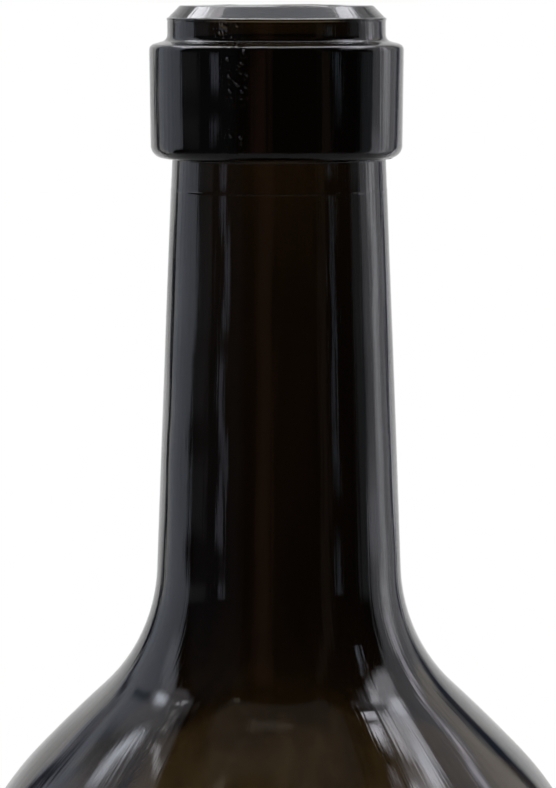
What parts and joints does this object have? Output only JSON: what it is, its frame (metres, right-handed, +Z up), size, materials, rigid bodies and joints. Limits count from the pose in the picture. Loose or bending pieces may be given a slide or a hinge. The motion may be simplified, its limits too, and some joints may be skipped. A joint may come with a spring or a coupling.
{
  "type": "magnum wine bottle",
  "caption": "Tall dark glass wine bottle with round shoulders, long tapering neck, heavy ring finish, open mouth and a deep punt in its base.",
  "frame": {"origin": "on the bottle's axis at the plane of the bearing ring that it stands on", "axes": "+Z up along the bottle's axis towards the mouth; the shape is the same all round, so +X and +Y are free"},
  "size_m": [0.099, 0.099, 0.35],
  "materials": {
    "dark_glass": "gloss"
  },
  "bodies": {
    "root": {"glass_bottle": "dark_glass"}
  },
  "joints": []
}
